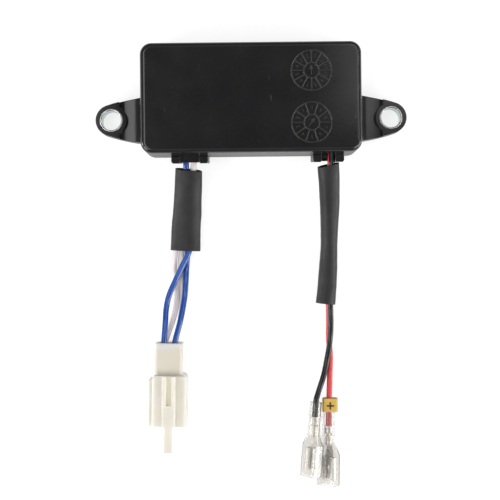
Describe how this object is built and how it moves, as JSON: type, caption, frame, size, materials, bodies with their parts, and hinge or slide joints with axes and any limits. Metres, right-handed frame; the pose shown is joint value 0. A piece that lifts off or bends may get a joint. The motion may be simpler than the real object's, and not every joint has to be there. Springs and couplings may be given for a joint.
{
  "type": "automatic voltage regulator",
  "caption": "Potted black case with mounting ears and metal eyelets; sleeved leads run to a shrouded plug and to booted spade terminals. Regulates a generator's field current.",
  "frame": {"origin": "midway between the two mounting holes, on the mounting plane", "axes": "+X along the line of the mounting holes, +Y away from the side where the leads leave, +Z out of the front face"},
  "size_m": [0.1112, 0.1572, 0.0202],
  "materials": {
    "case_plastic": "satin moulded plastic",
    "zinc_steel": "bright zinc plate",
    "potting_compound": "cast compound",
    "sealant": "satin sealant",
    "board": "solder mask",
    "black_package": "moulded package",
    "capacitor_can": "printed sleeve",
    "film_box": "moulded box",
    "resistor_body": "lacquer",
    "diode_glass": "glass",
    "tinned_copper": "stranded wire",
    "blue_insulation": "satin insulation",
    "white_insulation": "satin insulation",
    "red_insulation": "satin insulation",
    "black_insulation": "satin insulation",
    "sleeve_vinyl": "matte tubing",
    "milky_nylon": "natural nylon",
    "contact_brass": "bright brass",
    "tinned_brass": "tin plate",
    "clear_vinyl": "clear soft vinyl",
    "yellow_marker": "satin plastic"
  },
  "bodies": {
    "root": {"case": "case_plastic", "left_eyelet": "zinc_steel", "right_eyelet": "zinc_steel", "potting": "potting_compound", "left_lead_seal": "sealant", "right_lead_seal": "sealant", "circuit_board": "board", "rectifier_diodes": "black_package", "power_transistor": "black_package", "filter_capacitor": "capacitor_can", "timing_capacitor": "capacitor_can", "film_capacitor": "film_box", "power_resistor": "resistor_body", "resistors": "resistor_body", "zener_diodes": "diode_glass", "signal_transistors": "black_package", "soldered_wire_ends": "tinned_copper", "crimped_wire_ends": "tinned_copper", "blue_lead_1": "blue_insulation", "blue_lead_2": "blue_insulation", "white_lead_1": "white_insulation", "white_lead_2": "white_insulation", "red_lead": "red_insulation", "black_lead": "black_insulation", "left_sleeve": "sleeve_vinyl", "right_sleeve": "sleeve_vinyl", "plug_housing": "milky_nylon", "plug_contacts": "contact_brass", "red_terminal": "tinned_brass", "black_terminal": "tinned_brass", "red_boot": "clear_vinyl", "black_boot": "clear_vinyl", "plus_marker": "yellow_marker"}
  },
  "joints": []
}
